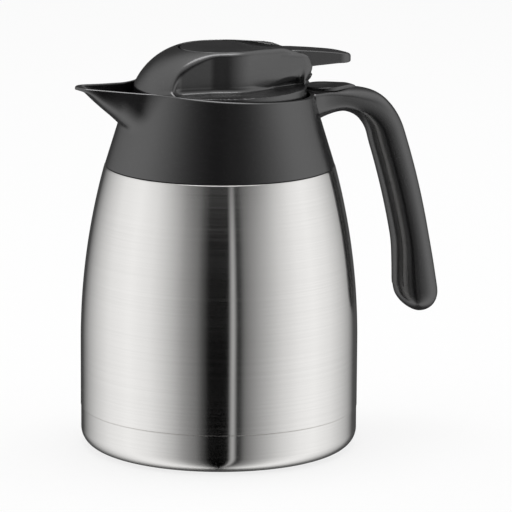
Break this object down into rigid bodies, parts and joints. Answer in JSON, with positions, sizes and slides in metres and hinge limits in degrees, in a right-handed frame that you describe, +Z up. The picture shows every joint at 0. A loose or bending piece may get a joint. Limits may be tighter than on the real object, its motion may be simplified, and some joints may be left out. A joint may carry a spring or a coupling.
{
  "type": "thermal carafe",
  "caption": "Double-wall steel vacuum jug with a moulded collar, spout and open handle, and a screw-in pouring stopper worked by a rocking thumb lever.",
  "frame": {"origin": "centre of the base, on the surface that the carafe stands on", "axes": "+Z up along the vessel's axis, +X towards the handle, -X towards the spout; symmetric about the XZ plane"},
  "size_m": [0.2011, 0.145, 0.211],
  "materials": {
    "brushed_steel": "brushed round the body",
    "inner_steel": "electropolished",
    "solder": "dull",
    "charcoal_plastic": "fine moulded grain, satin",
    "black_plastic": "moulded",
    "white_plastic": "moulded",
    "silicone": "soft translucent",
    "black_rubber": "matt",
    "screw_steel": "bright stainless",
    "spring_steel": "drawn wire"
  },
  "bodies": {
    "vessel": {"outer_shell": "brushed_steel", "base_shell": "brushed_steel", "base_plate": "brushed_steel", "vacuum_seal": "solder", "inner_flask": "inner_steel", "collar": "charcoal_plastic", "mouth_gasket": "silicone", "shoulder_seal": "black_rubber", "handle": "charcoal_plastic", "handle_inner_strip": "charcoal_plastic", "handle_screws": "screw_steel", "thumb_rest": "charcoal_plastic"},
    "stopper_ring": {"stopper_gasket": "silicone"},
    "stopper": {"stopper_body": "black_plastic", "stopper_cover": "charcoal_plastic", "cover_screws": "screw_steel", "stem_seal": "silicone", "lever_pin": "screw_steel"},
    "lever": {"lever": "charcoal_plastic", "stem_pin": "screw_steel"},
    "valve": {"valve_stem": "white_plastic", "valve_plate": "white_plastic", "valve_gasket": "silicone", "valve_retainer": "screw_steel", "return_spring": "spring_steel"}
  },
  "joints": [
    {"name": "stopper_lift", "type": "slide", "parent": "vessel", "child": "stopper_ring", "axis": [0, 0, 1], "range_m": [0, 0.06]},
    {"name": "stopper_turn", "type": "hinge", "parent": "stopper_ring", "child": "stopper", "pos_m": [0, 0, 0.19], "axis": [0, 0, 1], "range_deg": [0, 90]},
    {"name": "lever_press", "type": "hinge", "parent": "stopper", "child": "lever", "pos_m": [0.02798, 0, 0.203], "axis": [0, 1, 0], "range_deg": [0, 10], "stiffness_Nm_per_rad": 0.4, "springref_deg": -8.59},
    {"name": "valve_lift", "type": "slide", "parent": "stopper", "child": "valve", "axis": [0, 0, 1], "range_m": [0, 0.0049], "deforming": ["return_spring"]}
  ],
  "couplings": [
    {"joint": "valve_lift", "follows": "lever_press", "m_per_rad": 0.028}
  ]
}
